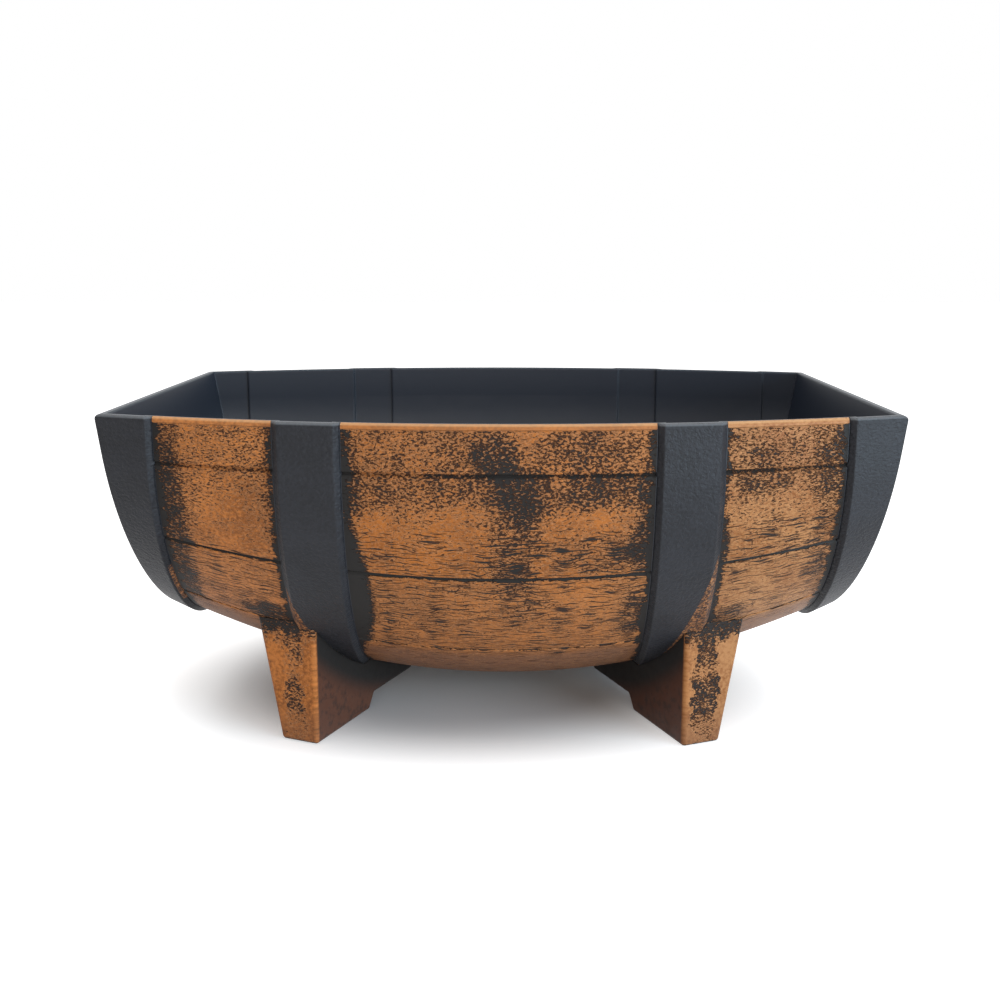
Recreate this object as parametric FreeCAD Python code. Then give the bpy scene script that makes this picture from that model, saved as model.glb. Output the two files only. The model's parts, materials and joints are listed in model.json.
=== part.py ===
import FreeCAD, Part
import math
import os

# A half-barrel planter lying on its side: a moulded tub with stave grooves, four bands, four splayed legs
# with their screws, and three drain plugs. Millimetres, +X along the length, +Y to the back, +Z up.
# The origin lies on the floor under the middle of the tub.

# Overall size
length = 415.0              # rim, end to end
depth = 300.0               # rim, front to back at the middle
height = 185.0              # floor to rim

# Barrel form
end_depth = 222.0           # rim, front to back at the ends, without the bands
belly_clearance = 16.0      # floor to the belly at the middle
end_clearance = 69.0        # floor to the belly in the plane of the rim's ends
upright = 20.0              # straight stretch of the wall below the rim
end_lean = 8.5              # degrees, the end walls lean inward toward the bottom
wall = 3.0                  # thickness of the moulded wall
end_wall = 5.5              # thickness of the end walls, along the length
rim_land = 0.6              # flat stretch left on top of the wall inside the rounded rim

# Stave grooves
groove_angles = (2.1, 24.3, 47.7, 71.0)     # degrees round the belly, from level down to the bottom
groove_width = 2.6
groove_depth = 1.3

# Bands
band_width = 34.5           # where a band meets the staves
band_flat = 28.5            # flat outer face of a band
band_height = 3.5           # how far a band stands proud of the staves
middle_band_place = 94.6    # middle of the tub to the middle of a middle band
end_band_width = 31.5       # end of the rim to the inner edge of an end band
rib_height = 1.5            # the tub's own rib under a band
rib_inset = 2.5             # edge of a band to the edge of its rib
channel_inset = 1.5         # edge of a rib to the edge of the channel behind it

# Legs
foot_place_x = 100.3        # inner front corner of a foot on the floor
foot_place_y = 102.5
leg_turn = 22.6             # degrees that a leg is turned toward the middle
foot_length = 58.5          # along the leg, on the floor
foot_width = 23.3           # across the leg, on the floor
leg_lean = 10.8             # degrees that the outer face leans outward
web_clearance = 8.5         # floor to the web between a front leg and a back leg
heel_run = 6.0              # how far the back of a foot leans out up to the web
leg_wall = 3.0              # the legs are hollow and open toward the belly
leg_rounding = 2.5

# Leg screws
screw_diameter = 4.0
screw_length = 14.0         # under the head
screw_head_diameter = 8.0
screw_head_height = 2.4
screw_slot_width = 1.2
screw_slot_depth = 1.0
screw_play = 0.2            # round the shank, in the tub and the band
head_play = 0.3             # round the head, in its seat
seat_depth = 0.4            # flat seat cut into the wall under a head
tip_room = 1.0              # free hole beyond the tip of a screw
boss_wall = 2.5             # round a screw inside a leg
foot_screw_along = 30.0     # places of the two screws along the leg
web_screw_along = 78.0
screw_across = 14.0         # place of the screws across the leg

# Drains
drain_spacing = 30.0        # between neighbouring drains
drain_diameter = 12.0
pad_width = 24.0            # flat pad round a drain, under the belly
pad_drop = 1.0              # how far the pads reach below the belly
plug_fit = 0.05             # round the stem in its drain
plug_stem = 5.5             # stem above the flange
plug_flange_diameter = 18.0
plug_flange_height = 2.5
plug_gap = 0.3              # flange to pad
plug_tip_chamfer = 1.0
grip_length = 11.0          # bar under the flange to pull the plug by
grip_width = 3.0
grip_height = 2.5

# Working values
overrun = 6.0               # how far cutting bodies reach past what they cut
bite = 0.5                  # how far a band body starts inside the tub
stations = 7                # sections along a barrel body

rim_rounding = wall - rim_land
band_rounding = band_height - rib_height
half_length = length / 2
half_depth = depth / 2
end_slope = math.tan(math.radians(end_lean))
rim_setback = rim_rounding * (1 / math.tan(math.radians(45 - end_lean / 2)) - 1)
turn_sine = math.sin(math.radians(leg_turn))
turn_cosine = math.cos(math.radians(leg_turn))
leg_slope = math.tan(math.radians(leg_lean))
leg_run = (foot_place_y + overrun) / turn_cosine
spring_line = height - upright
floor_reach = spring_line - belly_clearance
end_floor_reach = spring_line - end_clearance
vector = FreeCAD.Vector


# Barrel form

def bulge(x):
    """How much of the barrel's bulge is gone at x: nothing at the middle, all of it at the ends."""
    return (x / half_length) ** 2


def half_width(x):
    """Half of the depth over the staves at x."""
    return half_depth - (half_depth - end_depth / 2) * bulge(x)


def reach(x):
    """Depth of the round belly below its spring line at x."""
    return floor_reach - (floor_reach - end_floor_reach) * bulge(x)


def belly_arc(x, offset):
    """The round lower edge of the section at x, from front to back."""
    unit_arc = Part.Arc(vector(0, -1, 0), vector(0, 0, -1), vector(0, 1, 0)).toShape()
    placing = FreeCAD.Matrix()
    placing.A14 = x
    placing.A22 = half_width(x) + offset
    placing.A33 = reach(x) + offset
    placing.A34 = spring_line
    return unit_arc.transformGeometry(placing)


def section(x, offset, top, rounding):
    """Closed outline of the barrel at x, moved outward by offset, with its corners at the top rounded."""
    side = half_width(x) + offset
    shoulder = top - rounding
    corner = rounding * (1 - math.sqrt(0.5))

    def wall_line(hand):
        return Part.makeLine(vector(x, hand * side, shoulder), vector(x, hand * side, spring_line))

    def rim_arc(hand):
        start = vector(x, hand * (side - rounding), top)
        middle = vector(x, hand * (side - corner), top - corner)
        return Part.Arc(start, middle, vector(x, hand * side, shoulder)).toShape()

    lid = Part.makeLine(vector(x, rounding - side, top), vector(x, side - rounding, top))
    edges = [wall_line(-1), belly_arc(x, offset), wall_line(1), lid]
    if rounding > 0:
        edges += [rim_arc(-1), rim_arc(1)]
    return Part.Wire(Part.__sortEdges__(edges))


def spread(start, end):
    """Evenly spaced stations from start to end."""
    return [start + (end - start) * step / (stations - 1) for step in range(stations)]


def barrel(offset, start, end, top=height, rounding=0.0):
    """Solid of the barrel between two places along its length."""
    outlines = [section(x, offset, top, rounding) for x in spread(start, end)]
    return Part.makeLoft(outlines, True, False)


def prism(points, direction):
    """Solid of a closed outline drawn along a direction."""
    return Part.Face(Part.makePolygon(points + points[:1])).extrude(direction)


def between_ends(inset, top):
    """Space between the two leaning end faces, moved inward by inset along the length, up to the height top.

    The faces are set out far enough for the rounded rim to reach the full length.
    """
    low = -overrun

    def end_at(z):
        return half_length + rim_setback - inset - end_slope * (height - z)

    corners = [(-end_at(low), low), (end_at(low), low), (end_at(top), top), (-end_at(top), top)]
    points = [vector(x, -depth, z) for x, z in corners]
    return prism(points, vector(0, 2 * depth, 0))


def outer_ends():
    """Space between the outer end faces, with the rim rounded over them."""
    space = between_ends(0, height)
    rim = [edge for edge in space.Edges if all(abs(v.Z - height) < bite for v in edge.Vertexes)]
    return space.makeFillet(rim_rounding, [edge for edge in rim if edge.Length > depth])


# Tub

def groove(angle, side):
    """V-shaped cutter for one stave groove; side is -1 at the front and 1 at the back."""
    turn = math.radians(angle)
    outlines = []
    for x in spread(-half_length - overrun, half_length + overrun):
        middle = vector(x, side * half_width(x) * math.cos(turn), spring_line - reach(x) * math.sin(turn))
        outward = vector(0, side * math.cos(turn) / half_width(x), -math.sin(turn) / reach(x)).normalize()
        along_wall = outward.cross(vector(1, 0, 0))
        mouth = along_wall * (groove_width / 2 * (1 + bite / groove_depth))
        corners = [middle - outward * groove_depth, middle + outward * bite + mouth, middle + outward * bite - mouth]
        outlines.append(Part.makePolygon(corners + corners[:1]))
    return Part.makeLoft(outlines, True, False)


def band_edges():
    """Inner and outer edges of each band along the length, by name; end bands run past the end face."""
    inner_end = half_length - end_band_width
    middle_low = middle_band_place - band_width / 2
    middle_high = middle_band_place + band_width / 2
    past_end = half_length + overrun
    return {
        "left_end": (-past_end, -inner_end),
        "left_middle": (-middle_high, -middle_low),
        "right_middle": (middle_low, middle_high),
        "right_end": (inner_end, past_end),
    }


def raised(offset, inset, top=height):
    """Barrel bodies at the four bands, moved outward by offset and narrowed by inset at each edge."""
    return [barrel(offset, start + inset, end - inset, top) for start, end in band_edges().values()]


def tub_outside():
    """Outer form of the tub with its grooves and ribs, before it is hollowed."""
    body = barrel(0, -half_length - overrun, half_length + overrun, rounding=rim_rounding)
    grooves = [groove(angle, side) for angle in groove_angles for side in (-1, 1)]
    body = body.cut(grooves).fuse(raised(rib_height, rib_inset))
    return body.common(outer_ends())


def tub_inside():
    """Space inside the tub, with the channels behind the ribs, open past the rim."""
    top = height + overrun
    space = barrel(-wall, -half_length - overrun, half_length + overrun, top)
    space = space.fuse(raised(rib_height - wall, rib_inset + channel_inset, top))
    return space.common(between_ends(end_wall, top))


def drain_places():
    return {"left": -drain_spacing, "middle": 0.0, "right": drain_spacing}


pad_level = belly_clearance - pad_drop


def drain_pads():
    """Flat pads under the belly round the drains, up to the middle of the wall."""
    pads = []
    for x in drain_places().values():
        pad_height = spring_line - reach(x) + wall / 2 - pad_level
        pads.append(Part.makeCylinder(pad_width / 2, pad_height, vector(x, 0, pad_level)))
    return pads


def drain_holes():
    low = pad_level - overrun
    high = spring_line - reach(drain_spacing) + wall + overrun
    return [Part.makeCylinder(drain_diameter / 2, high - low, vector(x, 0, low)) for x in drain_places().values()]


# Bands

def band(start, end):
    """One band: a flat outer face between two slanting sides, wrapped round the barrel."""
    slant = (band_width - band_flat) / 2
    foot = slant * bite / band_height
    steps = [(start - foot, -bite), (start + slant, band_height), (end - slant, band_height), (end + foot, -bite)]
    outlines = [section(x, offset, height, band_rounding) for x, offset in steps]
    return Part.makeLoft(outlines, True, True)


# Legs

def leg_point(along, across, z=0.0):
    """Place on the front left leg, along it from its toe and across it from its inner face."""
    x = -foot_place_x + along * turn_sine - across * turn_cosine
    y = -foot_place_y + along * turn_cosine + across * turn_sine
    return vector(x, y, z)


def leg_outline(z, inset):
    """Outline of a leg at a height, moved inward by inset."""
    far = foot_width + z * leg_slope - inset
    corners = [(inset, inset), (leg_run, inset), (leg_run, far), (inset, far)]
    points = [leg_point(along, across, z) for along, across in corners]
    return Part.makePolygon(points + points[:1])


def leaning_block(low, inset):
    """Block of a leg from the height low up past the belly, with its faces moved inward by inset."""
    return Part.makeLoft([leg_outline(low, inset), leg_outline(spring_line, inset)], True, True)


def arch(rise):
    """Space behind the foot and under the web, grown into the leg by rise."""
    heel = foot_length + heel_run - rise
    web_low = web_clearance + rise
    far = leg_run + overrun
    corners = [(heel - 2 * heel_run, -web_clearance), (heel, web_low), (far, web_low), (far, -web_clearance)]
    points = [leg_point(along, -overrun, z) for along, z in corners]
    return prism(points, leg_point(0, depth) - leg_point(0, 0))


def at_web_end(edge):
    """Whether an edge lies in the end face of the web."""
    end_face = leg_point(leg_run, 0)
    along = vector(turn_sine, turn_cosine, 0)
    return all(abs((vertex.Point - end_face).dot(along)) < bite for vertex in edge.Vertexes)


def leg_outside():
    """The front left leg before it is fitted to the belly: a leaning block with an arch behind its foot."""
    block = leaning_block(0, 0).cut(arch(0))
    below_top = [edge for edge in block.Edges if edge.CenterOfMass.z < spring_line - overrun]
    rounded = [edge for edge in below_top if not at_web_end(edge)]
    return block.makeFillet(leg_rounding, rounded).common(in_front_of_middle(0))


def leg_inside(axes):
    """Hollow of the front left leg, with a boss left round each screw."""
    bosses = [Part.makeCylinder(screw_diameter / 2 + boss_wall, height, seat, outward) for seat, outward in axes]
    space = leaning_block(leg_wall, leg_wall).cut([arch(leg_wall)] + bosses)
    return space.common(in_front_of_middle(leg_wall))


def in_front_of_middle(gap):
    """Space in front of the plane between the front legs and the back legs, held off it by gap."""
    return Part.makeBox(length, depth, height, vector(-half_length, -depth - gap, 0))


def belly_normal(x, y):
    """Point on the staves at x and y, and the direction square to them, outward."""
    side, drop = half_width(x), reach(x)
    down = drop * math.sqrt(1 - (y / side) ** 2)
    side_change = -2 * (half_depth - end_depth / 2) * x / half_length ** 2
    drop_change = -2 * (floor_reach - end_floor_reach) * x / half_length ** 2
    slope = -(y ** 2 * side_change / side ** 3 + down ** 2 * drop_change / drop ** 3)
    outward = vector(slope, y / side ** 2, -down / drop ** 2).normalize()
    return vector(x, y, spring_line - down), outward


def screw_axes():
    """Seat under the head and pointing direction of the two screws of the front left leg, by name."""
    axes = {}
    for name, along in (("foot", foot_screw_along), ("web", web_screw_along)):
        place = leg_point(along, screw_across)
        on_staves, outward = belly_normal(place.x, place.y)
        seat = on_staves + outward * (rib_height - wall + seat_depth)
        axes[name] = (seat, outward)
    return axes


def screw(seat, outward):
    """Pan-head screw with a cross slot, its shank pointing outward from the seat."""
    head = Part.makeCylinder(screw_head_diameter / 2, screw_head_height, seat, outward * -1)
    shank = Part.makeCylinder(screw_diameter / 2, screw_length, seat, outward)
    body = head.fuse(shank)
    slot_floor = screw_head_height - screw_slot_depth
    for turn in (0, 90):
        slot = Part.makeBox(screw_head_diameter, screw_slot_width, screw_slot_depth + bite,
                            vector(-screw_head_diameter / 2, -screw_slot_width / 2, slot_floor))
        slot.rotate(vector(0, 0, 0), vector(0, 0, 1), turn)
        slot.Placement = FreeCAD.Placement(seat, FreeCAD.Rotation(vector(0, 0, 1), outward * -1)) * slot.Placement
        body = body.cut(slot)
    return body


def screw_clearances(seat, outward):
    """Room for one screw in the tub and the band: a flat seat for the head and a free hole for the shank."""
    head_room = Part.makeCylinder(screw_head_diameter / 2 + head_play, screw_head_height + overrun, seat, outward * -1)
    shank_room = Part.makeCylinder(screw_diameter / 2 + screw_play, screw_length, seat, outward)
    return [head_room, shank_room]


def screw_hole(seat, outward):
    """Hole in a leg that the screw cuts its thread in."""
    return Part.makeCylinder(screw_diameter / 2, screw_length + tip_room, seat, outward)


def four_corners(shape):
    """The front left shape and its mirror images at the other three corners, by name."""
    middle, across, along = vector(0, 0, 0), vector(1, 0, 0), vector(0, 1, 0)
    return {
        "front_left": shape,
        "front_right": shape.mirror(middle, across),
        "back_left": shape.mirror(middle, along),
        "back_right": shape.mirror(middle, across).mirror(middle, along),
    }


# Drain plugs

def drain_plug(x):
    """Push-in plug with a flange under its pad and a bar to pull it by."""
    flange_top = pad_level - plug_gap
    flange_low = flange_top - plug_flange_height
    stem = Part.makeCylinder(drain_diameter / 2 - plug_fit, plug_stem, vector(x, 0, flange_top))
    stem = stem.makeChamfer(plug_tip_chamfer, [stem.Edges[0]])
    flange = Part.makeCylinder(plug_flange_diameter / 2, plug_flange_height, vector(x, 0, flange_low))
    grip = Part.makeBox(grip_length, grip_width, grip_height,
                        vector(x - grip_length / 2, -grip_width / 2, flange_low - grip_height))
    return stem.fuse([flange, grip]).removeSplitter()


# Assembly

outside = tub_outside()
plain_outside = barrel(0, -half_length - overrun, half_length + overrun)
axes = screw_axes()
screw_rooms = []
screw_holes = []
for seat, outward in axes.values():
    for room in screw_clearances(seat, outward):
        screw_rooms += four_corners(room).values()
    screw_holes.append(screw_hole(seat, outward))

parts = {}
parts["tub"] = outside.fuse(drain_pads()).cut([tub_inside()] + drain_holes() + screw_rooms)
for name, (start, end) in band_edges().items():
    parts["band_" + name] = band(start, end).common(outer_ends()).cut([outside] + screw_rooms)

leg = leg_outside().cut([leg_inside(axes.values()), plain_outside, band(*band_edges()["left_middle"])] + screw_holes)
for corner, shape in four_corners(leg).items():
    parts["leg_" + corner] = shape
for name, axis in axes.items():
    for corner, shape in four_corners(screw(*axis)).items():
        parts["screw_" + name + "_" + corner] = shape
for name, x in drain_places().items():
    parts["drain_plug_" + name] = drain_plug(x)

os.makedirs("parts", exist_ok=True)
for name, shape in parts.items():
    shape.exportStep("parts/" + name + ".step")
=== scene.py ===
import json
import math

import bpy
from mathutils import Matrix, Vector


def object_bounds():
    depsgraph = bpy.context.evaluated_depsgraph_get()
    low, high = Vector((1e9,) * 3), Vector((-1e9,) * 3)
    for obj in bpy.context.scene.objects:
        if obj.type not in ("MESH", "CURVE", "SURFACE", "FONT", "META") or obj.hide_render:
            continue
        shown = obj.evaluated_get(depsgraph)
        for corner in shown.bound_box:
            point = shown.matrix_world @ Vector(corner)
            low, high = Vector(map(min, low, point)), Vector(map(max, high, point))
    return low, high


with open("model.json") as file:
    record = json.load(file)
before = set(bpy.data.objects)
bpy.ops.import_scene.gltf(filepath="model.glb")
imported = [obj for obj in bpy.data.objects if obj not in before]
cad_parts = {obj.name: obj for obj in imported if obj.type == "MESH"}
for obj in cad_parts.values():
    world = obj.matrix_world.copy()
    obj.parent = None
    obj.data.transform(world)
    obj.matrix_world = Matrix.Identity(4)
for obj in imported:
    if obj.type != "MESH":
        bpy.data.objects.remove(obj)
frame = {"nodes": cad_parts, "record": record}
cad_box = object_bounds()
nodes = frame["nodes"]

# Sizes of the planter, in metres
half_length = cad_box[1].x
half_depth = cad_box[1].y
height = cad_box[1].z
end_half_depth = 0.111      # middle of the rim to its front, at the ends
belly_clearance = 0.016     # floor to the belly, at the middle
end_clearance = 0.069       # floor to the belly, at the ends
upright = 0.020             # straight stretch of the wall below the rim
wall = 0.003
middle_band_place = 0.0946
middle_band_half = 0.01725
end_band_width = 0.0315
foot_place_x = 0.1003       # inner front corner of a foot
foot_place_y = 0.1025
foot_width = 0.0233
leg_turn = math.radians(22.6)   # of each leg, toward the middle
spring = height - upright
belly_reach = spring - belly_clearance
end_reach = spring - end_clearance
middle_band_edge = middle_band_place + middle_band_half
end_band_edge = half_length - end_band_width
round_size = 0.145          # radius by which a turn round the belly becomes a length
rim_line_heights = (height - 0.0016, height - 0.0006)

# Colours, as linear red, green and blue
paint_light = (0.405, 0.127, 0.023, 1.0)
paint_bright = (0.525, 0.178, 0.041, 1.0)
# Paint under a painted sheen of cool light, used on the right of the planter
paint_sheen = (0.388, 0.176, 0.066, 1.0)
paint_deep = (0.200, 0.063, 0.014, 1.0)
# Pale paint for raised edges, which also carries a painted highlight there
paint_edge_highlight = (0.500, 0.225, 0.095, 1.0)
# Paler paint for the lower staves, also the painted highlight on the very top of the rim
paint_pale = (0.700, 0.430, 0.220, 1.0)
paint_stain = (0.088, 0.033, 0.014, 1.0)
paint_dull = (0.150, 0.076, 0.048, 1.0)
# Leg paint darkened as painted shade, for the inner faces
paint_shaded = (0.095, 0.038, 0.023, 1.0)
bare_resin = (0.018, 0.016, 0.015, 1.0)
inside_resin = (0.011, 0.015, 0.025, 1.0)
# Painted highlight on the inner rim and on inside edges that face the right
inside_highlight_resin = (0.036, 0.046, 0.060, 1.0)
# Painted highlight on the top edges of the bands
glint_resin = (0.120, 0.126, 0.136, 1.0)
band_resin = (0.010, 0.0103, 0.0128, 1.0)
band_resin_pale = (0.020, 0.0205, 0.025, 1.0)
zinc_light = (0.60, 0.61, 0.63, 1.0)
zinc_dark = (0.42, 0.43, 0.46, 1.0)
rubber_light = (0.040, 0.040, 0.042, 1.0)
rubber_dark = (0.022, 0.022, 0.023, 1.0)
floor_white = (0.74, 0.735, 0.735, 1.0)
floor_pale = (0.71, 0.705, 0.705, 1.0)
white = (1.0, 1.0, 1.0, 1.0)

# Gloss, as the level of mirror reflection
paint_gloss = 0.19
resin_gloss = 0.13
inside_gloss = 0.36
band_gloss = 0.215
floor_gloss = 0.1

# Rays that look for a sharp edge to round off
edge_samples = 4


def turns(start, end):
    """Two turns round the barrel, given in degrees down from the level of its widest place."""
    return math.radians(start), math.radians(end)


class Shading:
    """Adds nodes to a node tree. An input is a number, a colour, a vector or the output of another node."""

    def __init__(self, tree):
        self.tree = tree

    def add(self, kind, inputs, **settings):
        node = self.tree.nodes.new(kind)
        for name, value in settings.items():
            setattr(node, name, value)
        for place, value in inputs.items():
            self.put(node.inputs[place], value)
        return node

    def put(self, socket, value):
        if isinstance(value, bpy.types.NodeSocket):
            self.tree.links.new(value, socket)
        else:
            socket.default_value = value

    def math(self, operation, first, second=0.0, third=0.0):
        node = self.add("ShaderNodeMath", {0: first, 1: second, 2: third}, operation=operation)
        return node.outputs[0]

    def times(self, first, second):
        return self.math("MULTIPLY", first, second)

    def over(self, first, second):
        return self.math("DIVIDE", first, second)

    def plus(self, first, second):
        return self.math("ADD", first, second)

    def minus(self, first, second):
        return self.math("SUBTRACT", first, second)

    def either(self, first, second):
        return self.math("MAXIMUM", first, second)

    def lesser(self, first, second):
        return self.math("MINIMUM", first, second)

    def absolute(self, value):
        return self.math("ABSOLUTE", value)

    def sign(self, value):
        return self.math("SIGN", value)

    def rest(self, share):
        return self.minus(1.0, share)

    def raised(self, base, value, gain):
        """The base, raised by the gain for each unit of the value."""
        return self.math("MULTIPLY_ADD", value, gain, base)

    def blend(self, share, first, second):
        """The first number where the share is 0, and the second where it is 1."""
        return self.raised(first, share, self.minus(second, first))

    def share(self, value, limits):
        """Goes smoothly from 0 to 1 while the value goes from the first limit to the second."""
        start, end = limits
        node = self.add("ShaderNodeMapRange", {"Value": value, "From Min": start, "From Max": end},
                        interpolation_type="SMOOTHSTEP")
        return node.outputs["Result"]

    def colours(self, share, first, second):
        node = self.add("ShaderNodeMix", {0: share, 6: first, 7: second}, data_type="RGBA")
        return node.outputs[2]

    def vector(self, first, second, third):
        return self.add("ShaderNodeCombineXYZ", {0: first, 1: second, 2: third}).outputs[0]

    def parts(self, vector):
        return self.add("ShaderNodeSeparateXYZ", {0: vector}).outputs

    def place(self):
        return self.add("ShaderNodeTexCoord", {}).outputs["Object"]

    def normal(self):
        return self.add("ShaderNodeTexCoord", {}).outputs["Normal"]

    def noise(self, place, kind, bend=0.0):
        """Soft random numbers from 0 to 1. Their kind has a size, finer layers and those layers' strength."""
        size, layers, fineness = kind
        inputs = {"Vector": place, "Scale": 1.0 / size, "Detail": layers, "Roughness": fineness,
                  "Distortion": bend}
        return self.add("ShaderNodeTexNoise", inputs).outputs[0]

    def uneven(self, place, kind, swing):
        """Noise about 0, spread over the swing."""
        return self.raised(-swing / 2, self.noise(place, kind), swing)

    def rounded(self, rounding):
        """Surface direction with sharp edges rounded off."""
        return self.add("ShaderNodeBevel", {"Radius": rounding}, samples=edge_samples).outputs[0]

    def bump(self, relief, scale, rounding):
        """Surface direction with a fine relief, and with sharp edges rounded off."""
        depth, strength = scale
        inputs = {"Height": relief, "Distance": depth, "Strength": strength, "Normal": self.rounded(rounding)}
        return self.add("ShaderNodeBump", inputs).outputs[0]

    def seen(self):
        """1 for rays from the camera, mirrored rays and rays that pass through, and 0 for other ones."""
        path = self.add("ShaderNodeLightPath", {}).outputs
        mirrored_or_through = self.either(path["Is Glossy Ray"], path["Is Transmission Ray"])
        return self.either(path["Is Camera Ray"], mirrored_or_through)


def new_material(name):
    """An empty material with a surface shader, and the means to add nodes to it."""
    material = bpy.data.materials.new(name)
    material.use_nodes = True
    shade = Shading(material.node_tree)
    surface = material.node_tree.nodes["Principled BSDF"]
    return material, shade, surface


def finish_surface(shade, surface, inputs):
    for name, value in inputs.items():
        shade.put(surface.inputs[name], value)


# Places on the barrel: how far along it, how far round it, and how deep below the face of the staves
def barrel_places(shade):
    x, y, z = shade.parts(shade.place())
    along = shade.over(x, half_length)
    bulge = shade.times(along, along)
    half_width = shade.blend(bulge, half_depth, end_half_depth)
    reach = shade.blend(bulge, belly_reach, end_reach)
    across = shade.over(shade.absolute(y), half_width)
    down = shade.over(shade.minus(spring, z), reach)
    turn = shade.math("ARCTAN2", down, across)
    low_side = shade.either(down, 0.0)
    round_it = shade.math("SQRT", shade.plus(shade.times(across, across), shade.times(low_side, low_side)))
    depth = shade.times(shade.rest(round_it), half_width)
    return x, y, z, turn, depth


def band_distance(shade, x):
    """Distance along the barrel from the nearest edge of a band, negative under it."""
    out = shade.absolute(x)
    from_middle = shade.absolute(shade.minus(out, middle_band_place))
    return shade.lesser(shade.minus(from_middle, middle_band_half), shade.minus(end_band_edge, out))


# Bare specks and streaks of the brushed paint: lengths along the barrel and widths round it, in metres. Their
# noise has size 1, since its places are divided by these lengths and widths.
speck_length = 0.0018
speck_width = 0.0011
speck_noise = (1.0, 4.0, 0.63)
speck_bend = 0.5            # how far the specks are bent out of shape
streak_length = 0.013
streak_width = 0.0009
streak_noise = (1.0, 1.0, 0.55)
streak_edge = 2.0           # how much crisper the streaks are than the specks
sway_noise = (streak_length, 1.0, 0.5)
streak_sway = 0.006

# Levels of the grain below which the resin is bare
speck_level = 0.414         # where the wear is 0
speck_gain = 0.20           # for each unit of wear
speck_drop = 0.05           # on staves full of streaks
streak_level = 0.17         # on staves without streaks
streak_rise = 0.237         # on staves full of streaks
streak_gain = 0.13          # for each unit of wear


def brushed_paint(shade, surface_place, streaky, wear):
    """How far the paint covers the resin: above 0 it does, and below 0 lie bare specks and streaks."""
    along, around, side = shade.parts(surface_place)
    speck_place = shade.vector(shade.over(along, speck_length), shade.over(around, speck_width), side)
    speck = shade.noise(speck_place, speck_noise, speck_bend)
    swayed = shade.plus(around, shade.times(shade.noise(surface_place, sway_noise), streak_sway))
    streak_place = shade.vector(shade.over(along, streak_length), shade.over(swayed, streak_width), side)
    streak = shade.noise(streak_place, streak_noise)
    speck_limit = shade.raised(speck_level, streaky, -speck_drop)
    speck_limit = shade.raised(speck_limit, wear, speck_gain)
    streak_limit = shade.raised(streak_level, streaky, streak_rise)
    streak_limit = shade.raised(streak_limit, wear, streak_gain)
    over_streak = shade.times(shade.minus(streak, streak_limit), streak_edge)
    return shade.lesser(shade.minus(speck, speck_limit), over_streak)


# Coat of paint: the covers over which its colour, gloss and height change
stained_cover = (-0.22, -0.06)
painted_cover = (-0.03, 0.03)
glossy_cover = (-0.05, 0.03)
raised_cover = (-0.12, 0.08)
# The pale edge round each speck: paler paint with a painted highlight of its raised rim
edge_cover = (0.0, 0.04)
plain_cover = (0.04, 0.14)
edge_highlight_share = 0.7
worn_depth = 0.10           # for each unit of wear
thin_wear = (0.35, 1.0)
thin_share = 0.7


def painted_colour(shade, bare, cover, wear, paint):
    """Bare resin where the paint is worn deep, then stained resin, a pale edge of paint, and plain paint."""
    deep = shade.raised(cover, wear, -worn_depth)
    stained = shade.colours(shade.share(deep, stained_cover), bare, paint_stain)
    thin = shade.colours(shade.times(shade.share(wear, thin_wear), thin_share), paint, paint_dull)
    # Pale edge of paint round each speck, lightened further as a painted highlight of its raised rim
    edge = shade.minus(shade.share(cover, edge_cover), shade.share(cover, plain_cover))
    edged = shade.colours(shade.times(edge, edge_highlight_share), thin, paint_edge_highlight)
    return shade.colours(shade.share(cover, painted_cover), stained, edged)


def painted_gloss(shade, cover, bare_gloss):
    """Gloss of the bare resin, then of the paint, as the cover grows."""
    return shade.blend(shade.share(cover, glossy_cover), bare_gloss, paint_gloss)


def paint_relief(shade, cover):
    """Height of the coat of paint over the bare resin."""
    return shade.share(cover, raised_cover)


# Tones of the paint, with places along the barrel in metres
left_panel = (-0.07, -0.10)
# Where the painted sheen of cool light starts and is full, on the right
right_sheen_places = (0.04, 0.13)
tone_cloud = (0.022, 4.0, 0.6)
tone_mottle = (0.0020, 2.0, 0.6)
cloud_share = 0.55
mottle_share = 0.65
deep_tone = (0.44, 0.76)


def paint_colour(shade, surface_place, x):
    """Orange-brown that shifts from place to place, brighter on the left, and with a painted cool sheen on
    the right.
    """
    light = shade.colours(shade.share(x, left_panel), paint_light, paint_bright)
    # On the right the paint turns to a painted sheen of cool light
    light = shade.colours(shade.share(x, right_sheen_places), light, paint_sheen)
    cloud = shade.times(shade.noise(surface_place, tone_cloud), cloud_share)
    shift = shade.raised(cloud, shade.noise(surface_place, tone_mottle), mottle_share)
    return shade.colours(shade.share(shift, deep_tone), light, paint_deep)


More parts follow.
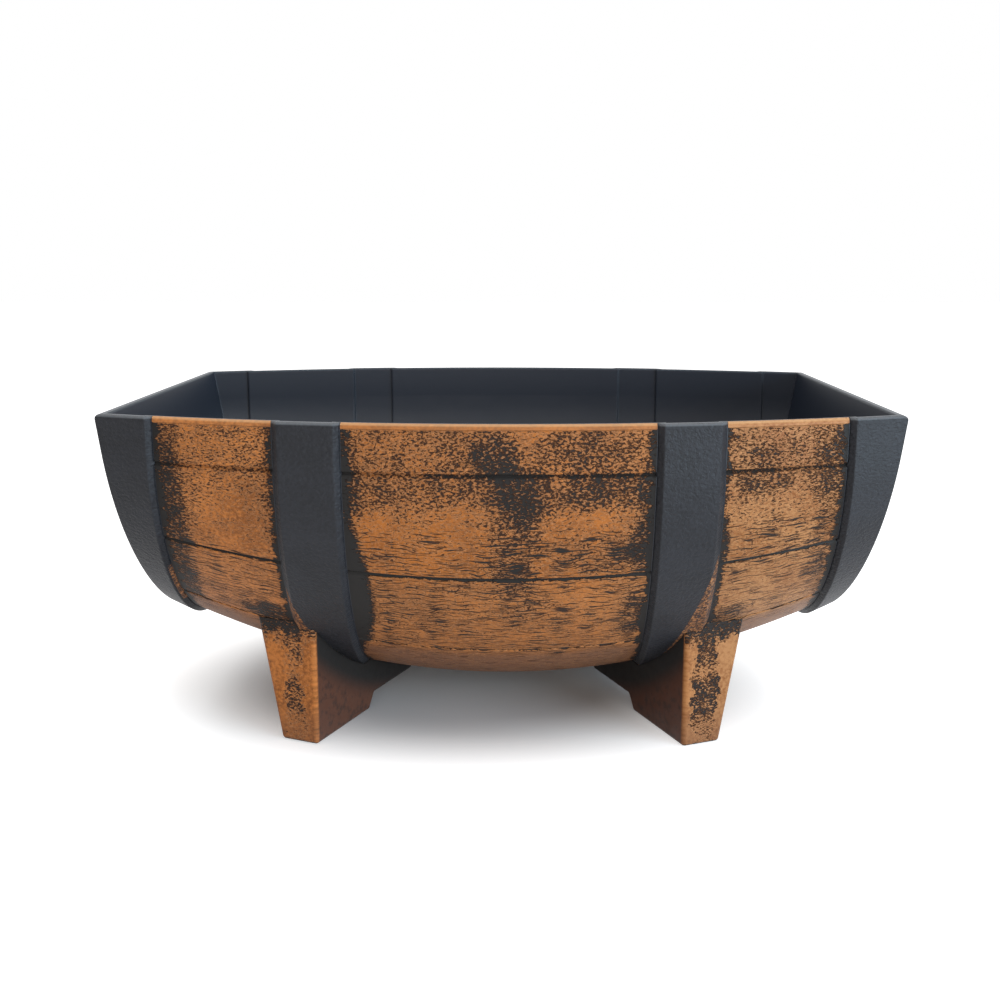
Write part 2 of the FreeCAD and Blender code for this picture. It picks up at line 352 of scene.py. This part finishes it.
# Patches in the paint of the front: place along the barrel in metres, turn down from the widest place in
# degrees, half size along in metres, half size in degrees, and how bare the middle is (below 0, fuller paint)
front_patches = (
    (-0.002, -2.0, 0.016, 7.0, 0.50),
    (0.010, 6.0, 0.020, 8.0, 0.60),
    (0.008, 17.0, 0.018, 10.0, 0.45),
    (0.008, 30.0, 0.015, 12.0, 0.3),
    (0.056, 5.5, 0.036, 5.0, 0.45),
    (0.050, -3.0, 0.042, 6.0, 0.15),
    (-0.132, 9.0, 0.034, 9.0, -0.25),
    (-0.136, 18.0, 0.030, 9.0, -0.3),
    (-0.040, 6.5, 0.036, 6.0, 0.25),
    (-0.120, 44.0, 0.024, 6.0, 0.7),
    (0.122, 44.0, 0.020, 6.0, 0.6),
    (0.142, 33.0, 0.030, 11.0, -0.25),
    (0.055, 19.0, 0.034, 6.0, 0.45),
    (0.076, 8.0, 0.009, 14.0, 0.35),
    (-0.0765, 32.0, 0.0135, 22.0, 2.2),
    (-0.074, 6.0, 0.008, 14.0, 0.4),
    (-0.114, 10.0, 0.009, 14.0, 0.15),
    (0.072, 17.0, 0.011, 9.0, 0.5),
    (0.070, 36.0, 0.012, 10.0, 0.5),
    (0.132, 5.0, 0.020, 7.0, 0.25),
    (0.150, 14.0, 0.030, 14.0, 0.05),
    (0.174, 10.0, 0.020, 60.0, 0.4),
    (-0.172, 25.0, 0.015, 50.0, 0.7),
)
patch_fade = (1.0, 0.0)     # from the edge of a patch to its middle


def patches(shade, x, y, turn):
    """How bare the placed patches of the front leave the paint."""
    bare = 0.0
    for place, down, half_along, half_round, strength in front_patches:
        aside = shade.over(shade.minus(x, place), half_along)
        below = shade.over(shade.minus(turn, math.radians(down)), math.radians(half_round))
        far = shade.plus(shade.times(aside, aside), shade.times(below, below))
        bare = shade.plus(bare, shade.times(shade.share(far, patch_fade), strength))
    return shade.times(bare, shade.math("LESS_THAN", y, 0.0))


# Grooves between staves: turn in degrees, how bare the brush left it, and degrees below it where that ends
low_groove = 47.7
grooves = (
    (2.1, 0.45, 0.8),
    (24.3, 1.5, 0.55),
    (low_groove, 0.7, 0.6),
)
groove_start = turns(-0.45, -0.20)
groove_middle = 0.1
first_groove_turns = turns(8.0, 6.0)
first_groove_left = (-0.015, -0.055)
first_groove_paint = 0.75   # share of the first groove that is painted on its left


def bare_below_grooves(shade, turn, x):
    """Bare resin that the brush left in each groove and just below it, least on the left of the first one."""
    bare = 0.0
    for groove_turn, strength, spread in grooves:
        below = shade.minus(turn, math.radians(groove_turn))
        start = shade.share(below, groove_start)
        fade = shade.share(below, turns(spread, groove_middle))
        bare = shade.plus(bare, shade.times(shade.times(start, fade), strength))
    first = shade.times(shade.share(x, first_groove_left), shade.share(turn, first_groove_turns))
    return shade.times(bare, shade.rest(shade.times(first, first_groove_paint)))


# Wear of the tub's paint
wear_cloud = (0.033, 3.0, 0.6)
wear_cloud_swing = 1.0
wear_cluster = (0.009, 1.0, 0.5)
wear_cluster_swing = 0.9
wear_base = 0.05
border_noise = (0.006, 3.0, 0.65)
border_swing = 0.012
border_distances = (0.0045, 0.0005)
border_wear_high = 0.8
border_wear_low = 1.6
border_turns = turns(12.0, 26.0)
upper_turns = turns(11.0, 5.0)
upper_wear = 0.16


def stave_wear(shade, x, y, turn, edge_distance, end_face, surface_place):
    """How worn the paint of the tub is: in clouds and patches, below the grooves and along the bands."""
    cloud = shade.plus(shade.uneven(surface_place, wear_cloud, wear_cloud_swing), wear_base)
    cluster = shade.uneven(surface_place, wear_cluster, wear_cluster_swing)
    ragged = shade.uneven(surface_place, border_noise, border_swing)
    border = shade.share(shade.plus(edge_distance, ragged), border_distances)
    border_wear = shade.blend(shade.share(turn, border_turns), border_wear_high, border_wear_low)
    upper = shade.times(shade.share(turn, upper_turns), upper_wear)
    placed = shade.plus(patches(shade, x, y, turn), bare_below_grooves(shade, turn, x))
    on_staves = shade.times(shade.plus(upper, placed), shade.rest(end_face))
    by_place = shade.plus(shade.times(border, border_wear), on_staves)
    return shade.plus(by_place, shade.plus(cloud, cluster))


# Tub: painted staves and end faces outside, bare resin inside
end_face_slopes = (0.6, 0.8)
end_face_places = (0.183, 0.187)
end_face_slice = 4.0        # keeps the noise of the end faces apart from that of the staves
outside_depths = (0.75 * wall, 0.65 * wall)
panel_start = (0.0, 0.0005)
streak_turns = turns(6.0, 18.0)
left_streak_turn = math.radians(8.0)    # how much lower the streaks of the left panel start
belly_turns = turns(low_groove, 52.0)
belly_calm = 0.2
belly_dull = 0.7
rim_heights = (height - 0.0034, height - 0.0026)
# Painted highlight of the rounded rim: its top strip, and more on the line at its very top
rim_highlight = 0.25
rim_line_highlight = 0.4
calm_wear = -1.6
lower_turns = turns(18.0, 32.0)
lower_pale = 0.06
# Painted highlight on the rounded inside edges that face right, toward the right lamp
glint_bends = (0.10, 0.50)
glint_share = 0.6
inside_rounding = 0.0018
outside_rounding = 0.0008
inside_roughness = 0.36
outside_roughness = 0.50
stave_relief = (0.0008, 1.0)


def end_faces(shade, x, normal_x):
    """1 on the outer faces of the end walls, and 0 elsewhere on the tub."""
    outward = shade.share(shade.times(normal_x, shade.sign(x)), end_face_slopes)
    return shade.times(outward, shade.share(shade.absolute(x), end_face_places))


def stave_place(shade, x, y, z, turn, end_face):
    """Place along and round the barrel on the staves, and across and up on the end faces."""
    around = shade.times(turn, round_size)
    end_slice = shade.times(shade.sign(x), end_face_slice)
    return shade.vector(shade.blend(end_face, x, y), shade.blend(end_face, around, z),
                        shade.blend(end_face, shade.sign(y), end_slice))


def stave_paint(shade, x, turn, belly, rim, rim_line, surface_place):
    """Colour of the tub's paint: a little paler on the lower staves, dull on the belly, with a painted
    highlight along the rim.
    """
    paler = shade.times(shade.share(turn, lower_turns), lower_pale)
    paint = shade.colours(paler, paint_colour(shade, surface_place, x), paint_pale)
    paint = shade.colours(shade.times(belly, belly_dull), paint, paint_dull)
    # Painted highlight along the rounded rim
    paint = shade.colours(shade.times(rim, rim_highlight), paint, paint_edge_highlight)
    return shade.colours(shade.times(shade.times(rim, rim_line), rim_line_highlight), paint, paint_pale)


def stave_resin(shade, textured, rim_line, normal_x, rounding):
    """Colour of the tub's resin: black under the paint, bluish inside, with a painted highlight on the inner
    rim and inside edges facing right.
    """
    rounded_x = shade.parts(shade.rounded(rounding))[0]
    # Edges whose rounding turns toward the right get a painted highlight, and so does the rim line
    right_edge_glint = shade.times(shade.share(shade.minus(rounded_x, normal_x), glint_bends), glint_share)
    inside = shade.colours(shade.either(rim_line, right_edge_glint), inside_resin, inside_highlight_resin)
    return shade.colours(textured, inside, bare_resin)


def stave_material():
    material, shade, surface = new_material("painted_stave_resin")
    x, y, z, turn, depth = barrel_places(shade)
    normal_x = shade.parts(shade.normal())[0]
    end_face = end_faces(shade, x, normal_x)
    stave = shade.rest(end_face)
    surface_place = stave_place(shade, x, y, z, turn, end_face)
    from_band = band_distance(shade, x)
    panel = shade.times(shade.share(depth, outside_depths), shade.share(from_band, panel_start))
    textured = shade.either(panel, end_face)
    streak_turn = shade.raised(turn, shade.share(x, left_panel), -left_streak_turn)
    streaky = shade.either(shade.share(streak_turn, streak_turns), end_face)
    belly = shade.times(shade.share(turn, belly_turns), stave)
    rim = shade.times(shade.share(z, rim_heights), stave)
    rim_line = shade.share(z, rim_line_heights)
    edge_distance = shade.blend(end_face, from_band, depth)
    wear = stave_wear(shade, x, y, turn, edge_distance, end_face, surface_place)
    wear = shade.raised(wear, shade.either(rim, shade.times(belly, belly_calm)), calm_wear)
    cover = shade.minus(brushed_paint(shade, surface_place, streaky, wear), shade.rest(textured))
    rounding = shade.blend(textured, inside_rounding, outside_rounding)
    resin = stave_resin(shade, textured, rim_line, normal_x, rounding)
    paint = stave_paint(shade, x, turn, belly, rim, rim_line, surface_place)
    relief = shade.times(paint_relief(shade, cover), shade.times(textured, shade.rest(rim)))
    bare_gloss = shade.blend(textured, inside_gloss, resin_gloss)
    finish_surface(shade, surface, {
        "Base Color": painted_colour(shade, resin, cover, wear, paint),
        "Roughness": shade.blend(textured, inside_roughness, outside_roughness),
        "Specular IOR Level": painted_gloss(shade, cover, bare_gloss),
        "Normal": shade.bump(relief, stave_relief, rounding),
    })
    return material


# Bands: charcoal resin with a leather grain and a little paint low down
leather_grain = (0.0019, 2.0, 0.6)
leather_bend = 0.4
leather_cloud = (0.025, 3.0, 0.55)
leather_share = 0.5         # of the grain, and of the cloud
leather_tones = (0.30, 0.72)
leather_roughness = (0.36, 0.61)
# Share of the painted highlight on the bands' top edges
band_rim_highlight = 0.8
band_paint_height = 0.5     # beside the height of the grain
band_relief = (0.0009, 0.75)
band_rounding = 0.0013
swipe_start_left = math.radians(30.0)
swipe_start_right = math.radians(20.0)
swipe_widening = 0.034      # metres for each radian of turn
swipe_border = (-0.001, 0.001)
swipe_streaks = 0.2
swipe_wear = 0.6
unpainted_wear = 3.0
end_band_start = end_band_edge - 0.01
flank_places = (-end_band_edge - 0.0030, -end_band_edge - 0.0018)
flank_top = turns(28.0, 36.0)
flank_bottom = turns(60.0, 52.0)


def band_paint(shade, x, turn):
    """Where the brush touched the bands: a widening swipe low on the outer edge of each middle band, and the
    inner flank of the left end band."""
    out = shade.absolute(x)
    left = shade.math("LESS_THAN", x, 0.0)
    start = shade.blend(left, swipe_start_right, swipe_start_left)
    reach_in = shade.times(shade.minus(turn, start), swipe_widening)
    swipe_edge = shade.minus(middle_band_edge, shade.either(reach_in, 0.0))
    swipe = shade.share(shade.minus(out, swipe_edge), swipe_border)
    end_band = shade.math("GREATER_THAN", out, end_band_start)
    low = shade.times(shade.share(turn, flank_top), shade.share(turn, flank_bottom))
    end_flank = shade.times(shade.times(shade.share(x, flank_places), left), low)
    return shade.either(shade.times(swipe, shade.rest(end_band)), shade.times(end_flank, end_band))


def band_material():
    material, shade, surface = new_material("dark_band_resin")
    x, y, z, turn, _ = barrel_places(shade)
    surface_place = shade.vector(x, shade.times(turn, round_size), shade.sign(y))
    leather = shade.noise(surface_place, leather_grain, leather_bend)
    cloud = shade.times(shade.noise(surface_place, leather_cloud), leather_share)
    tone = shade.raised(cloud, leather, leather_share)
    resin = shade.colours(shade.share(tone, leather_tones), band_resin, band_resin_pale)
    rim = shade.share(z, rim_line_heights)
    # Painted highlight along the top edge of the band
    resin = shade.colours(shade.times(rim, band_rim_highlight), resin, glint_resin)
    unpainted = shade.rest(band_paint(shade, x, turn))
    wear = shade.raised(swipe_wear, unpainted, unpainted_wear)
    cover = shade.minus(brushed_paint(shade, surface_place, swipe_streaks, swipe_wear), unpainted)
    relief = shade.raised(leather, paint_relief(shade, cover), band_paint_height)
    finish_surface(shade, surface, {
        "Base Color": painted_colour(shade, resin, cover, wear, paint_colour(shade, surface_place, x)),
        "Roughness": shade.blend(tone, *leather_roughness),
        "Specular IOR Level": band_gloss,
        "Normal": shade.bump(relief, band_relief, band_rounding),
    })
    return material


# Legs: smooth paint with a strip of bare specks down each toe, bare resin where they meet the belly, and
# painted shade on the inner faces
leg_slice = 2.0             # keeps the noise of the left and right legs apart
leg_streaks = 0.0
inner_start = (0.0012, 0.0030)
inner_across = (0.5 * foot_width, 0.2 * foot_width)
inner_calm = 3.0
inner_mottle = (0.0045, 3.0, 0.6)
inner_tones = (0.45, 0.70)
inner_mottle_share = 0.6
# Painted shade on the inner face, deepest under the belly
inner_shade_depths = (0.026, 0.010)
strip_middle = 0.58 * foot_width
strip_half_left = 0.28 * foot_width
strip_half_right = 0.38 * foot_width
strip_border = (0.08 * foot_width, -0.10 * foot_width)
strip_noise = (0.009, 3.0, 0.65)
strip_swing = foot_width
strip_wear = (0.65, 1.35)   # between its low and high patches, and in them
strip_wear_right = 0.3      # more on the right legs
strip_wear_cluster = 0.4    # more where the specks lie close together
strip_cluster = (0.006, 2.0, 0.5)
strip_cluster_tones = (0.30, 0.70)
low_patch_height = 0.027
low_patch_border = (0.017, 0.007)
high_patch_heights = (0.038, 0.054)
crease_noise = (0.0065, 3.0, 0.65)
crease_swing = 0.020
crease_depths = (0.016, 0.002)
sole_heights = (0.0022, 0.0006)
bare_wear = 2.1             # in the crease under the belly and at the sole
leg_calm = 1.1
foot_heights = (0.030, 0.0)
foot_dull = 0.4
leg_roughness = (0.42, 0.52)
leg_relief = (0.0007, 0.9)
leg_rounding = 0.0010


def leg_places(shade, x, y):
    """Distance back from the toe along a leg, and across the leg from its inner corner."""
    from_foot_x = shade.minus(foot_place_x, shade.absolute(x))
    from_foot_y = shade.minus(foot_place_y, shade.absolute(y))
    sine = math.sin(leg_turn)
    cosine = math.cos(leg_turn)
    along = shade.plus(shade.times(from_foot_x, sine), shade.times(from_foot_y, cosine))
    across = shade.minus(shade.times(from_foot_y, sine), shade.times(from_foot_x, cosine))
    return along, across


def speck_strip(shade, x, z, across, clusters, surface_place):
    """Wear of the strip of specks down the toe of a leg, strongest in a low and a high patch."""
    right = shade.math("GREATER_THAN", x, 0.0)
    strip_half = shade.blend(right, strip_half_left, strip_half_right)
    aside = shade.minus(shade.absolute(shade.minus(across, strip_middle)), strip_half)
    ragged = shade.uneven(surface_place, strip_noise, strip_swing)
    strip = shade.share(shade.plus(aside, ragged), strip_border)
    low = shade.share(shade.absolute(shade.minus(z, low_patch_height)), low_patch_border)
    high = shade.share(z, high_patch_heights)
    more = shade.raised(shade.times(clusters, strip_wear_cluster), right, strip_wear_right)
    return shade.times(strip, shade.plus(shade.blend(shade.either(low, high), *strip_wear), more))


def bare_places(shade, z, below, surface_place):
    """1 in the ragged crease where a leg meets the belly and at its sole, and 0 elsewhere."""
    ragged = shade.uneven(surface_place, crease_noise, crease_swing)
    crease = shade.share(shade.plus(below, ragged), crease_depths)
    return shade.either(crease, shade.share(z, sole_heights))


def leg_paint(shade, x, z, below, inner, surface_place):
    """Colour of a leg's paint, duller toward the floor; on the inner face mottled and darkened by painted
    shade, darkest under the belly.
    """
    mottle = shade.share(shade.noise(surface_place, inner_mottle), inner_tones)
    # Mottled paint, darkened as painted shade and darkest under the belly
    mottle_and_shade = shade.either(shade.times(mottle, inner_mottle_share), shade.share(below, inner_shade_depths))
    shaded = shade.colours(mottle_and_shade, paint_shaded, bare_resin)
    dull = shade.times(shade.share(z, foot_heights), foot_dull)
    paint = shade.colours(dull, paint_colour(shade, surface_place, x), paint_dull)
    return shade.colours(inner, paint, shaded)


def leg_material():
    material, shade, surface = new_material("painted_leg_resin")
    x, y, z, _, depth = barrel_places(shade)
    along, across = leg_places(shade, x, y)
    below = shade.times(depth, -1.0)
    corner = shade.raised(shade.sign(y), shade.sign(x), leg_slice)
    surface_place = shade.vector(shade.plus(along, across), z, corner)
    inner = shade.times(shade.share(along, inner_start), shade.share(across, inner_across))
    clusters = shade.share(shade.noise(surface_place, strip_cluster), strip_cluster_tones)
    specks = speck_strip(shade, x, z, across, clusters, surface_place)
    bare = shade.times(bare_places(shade, z, below, surface_place), bare_wear)
    worn = shade.minus(shade.either(specks, bare), leg_calm)
    wear = shade.minus(worn, shade.times(inner, inner_calm))
    cover = brushed_paint(shade, surface_place, leg_streaks, wear)
    paint = leg_paint(shade, x, z, below, inner, surface_place)
    finish_surface(shade, surface, {
        "Base Color": painted_colour(shade, bare_resin, cover, wear, paint),
        "Roughness": shade.blend(clusters, *leg_roughness),
        "Specular IOR Level": painted_gloss(shade, cover, resin_gloss),
        "Normal": shade.bump(paint_relief(shade, cover), leg_relief, leg_rounding),
    })
    return material


# Screws: zinc-plated steel
zinc_cloud = (0.0014, 3.0, 0.6)
zinc_tones = (0.3, 0.7)
zinc_roughness = (0.22, 0.52)
zinc_grain = (0.00055, 2.0, 0.5)
zinc_relief = (0.0001, 0.3)
zinc_rounding = 0.0003


def screw_material():
    material, shade, surface = new_material("screw_steel")
    place = shade.place()
    worn = shade.noise(place, zinc_cloud)
    finish_surface(shade, surface, {
        "Base Color": shade.colours(shade.share(worn, zinc_tones), zinc_dark, zinc_light),
        "Metallic": 1.0,
        "Roughness": shade.blend(worn, *zinc_roughness),
        "Normal": shade.bump(shade.noise(place, zinc_grain), zinc_relief, zinc_rounding),
    })
    return material


# Drain plugs: matt black rubber
rubber_cloud = (0.0033, 4.0, 0.6)
rubber_tones = (0.3, 0.7)
rubber_roughness = (0.58, 0.78)
rubber_grain = (0.00067, 2.0, 0.5)
rubber_relief = (0.0001, 0.4)
rubber_rounding = 0.0005


def plug_material():
    material, shade, surface = new_material("plug_rubber")
    place = shade.place()
    cloud = shade.noise(place, rubber_cloud)
    finish_surface(shade, surface, {
        "Base Color": shade.colours(shade.share(cloud, rubber_tones), rubber_dark, rubber_light),
        "Roughness": shade.blend(cloud, *rubber_roughness),
        "Normal": shade.bump(shade.noise(place, rubber_grain), rubber_relief, rubber_rounding),
    })
    return material


materials_by_slot = {
    "painted_stave_resin": stave_material(),
    "dark_band_resin": band_material(),
    "painted_leg_resin": leg_material(),
    "screw_steel": screw_material(),
    "plug_rubber": plug_material(),
}
for subpart in frame["record"]["subparts"]:
    mesh = nodes[subpart["node"]].data
    mesh.materials.clear()
    mesh.materials.append(materials_by_slot[subpart["material_slot"]])


# Floor: pale paper that takes the shadow near the planter; further off it glows white, painted light that
# runs into the white background and sets where the shadow ends
floor_half = 6.0
floor_cloud = (0.33, 3.0, 0.5)
floor_roughness = 0.9
shadow_half_length = 0.248
shadow_half_depth = 0.18
shadow_place = -0.024       # middle of the shadow, along the barrel
shadow_core = 0.33          # share of its size where the shadow is kept in full


def floor_material():
    material, shade, surface = new_material("floor_paper")
    place = shade.place()
    x, y, _ = shade.parts(place)
    aside = shade.times(shade.minus(x, shadow_place), shadow_half_depth / shadow_half_length)
    far = shade.math("SQRT", shade.plus(shade.times(aside, aside), shade.times(y, y)))
    # The floor glows white to the camera and in reflections away from the planter: painted light that bounds
    # the shadow
    whitened = shade.share(far, (shadow_core * shadow_half_depth, shadow_half_depth))
    finish_surface(shade, surface, {
        "Base Color": shade.colours(shade.noise(place, floor_cloud), floor_pale, floor_white),
        "Roughness": floor_roughness,
        "Specular IOR Level": floor_gloss,
        "Emission Color": white,
        "Emission Strength": shade.times(shade.seen(), whitened),
    })
    return material


def make_floor():
    mesh = bpy.data.meshes.new("floor")
    corners = [(-floor_half, -floor_half, 0.0), (floor_half, -floor_half, 0.0),
               (floor_half, floor_half, 0.0), (-floor_half, floor_half, 0.0)]
    mesh.from_pydata(corners, [], [(0, 1, 2, 3)])
    floor = bpy.data.objects.new("floor", mesh)
    bpy.context.scene.collection.objects.link(floor)
    mesh.materials.append(floor_material())


# World, white to the camera and softer on the object
world_strength = 0.25


def make_world():
    world = bpy.data.worlds.new("studio")
    bpy.context.scene.world = world
    world.use_nodes = True
    shade = Shading(world.node_tree)
    background = world.node_tree.nodes["Background"]
    shade.put(background.inputs["Color"], white)
    shade.put(background.inputs["Strength"], shade.blend(shade.seen(), world_strength, 1.0))


# Lamps, all aimed at the middle of the planter
lamp_aim = (0.0, 0.0, 0.1)


def make_lamp(name, place, size, power, colour):
    light = bpy.data.lights.new(name, "AREA")
    light.shape = "RECTANGLE"
    light.size, light.size_y = size
    light.energy = power
    light.color = colour
    lamp = bpy.data.objects.new(name, light)
    bpy.context.scene.collection.objects.link(lamp)
    lamp.location = place
    towards = Vector(lamp_aim) - Vector(place)
    lamp.rotation_euler = towards.to_track_quat("-Z", "Y").to_euler()


make_floor()
make_world()
make_lamp("top_softbox", place=(0.0, -0.1, 1.5), size=(1.8, 1.4), power=15.0, colour=(1.0, 1.0, 1.0))
make_lamp("right_softbox", place=(1.3, -1.0, 0.28), size=(1.1, 0.9), power=31.0, colour=(0.66, 0.85, 1.0))
make_lamp("front_softbox", place=(0.2, -1.9, 0.5), size=(1.4, 0.9), power=12.0, colour=(1.0, 0.97, 0.92))

# Camera at the viewing angle of the photograph, with its lens and sensor in millimetres
camera_place = (0.00949, -0.72335, 0.26546)
camera_tilt = 0.2019        # radians down from level
camera_swing = 0.0151       # radians to the left
lens_length = 43.31
sensor_width = 36.0

camera_data = bpy.data.cameras.new("camera")
camera_data.sensor_width = sensor_width
camera_data.lens = lens_length
camera = bpy.data.objects.new("camera", camera_data)
bpy.context.scene.collection.objects.link(camera)
camera.location = camera_place
camera.rotation_euler = (math.pi / 2 - camera_tilt, 0.0, camera_swing)
bpy.context.scene.camera = camera
bpy.context.scene.view_settings.view_transform = "Standard"
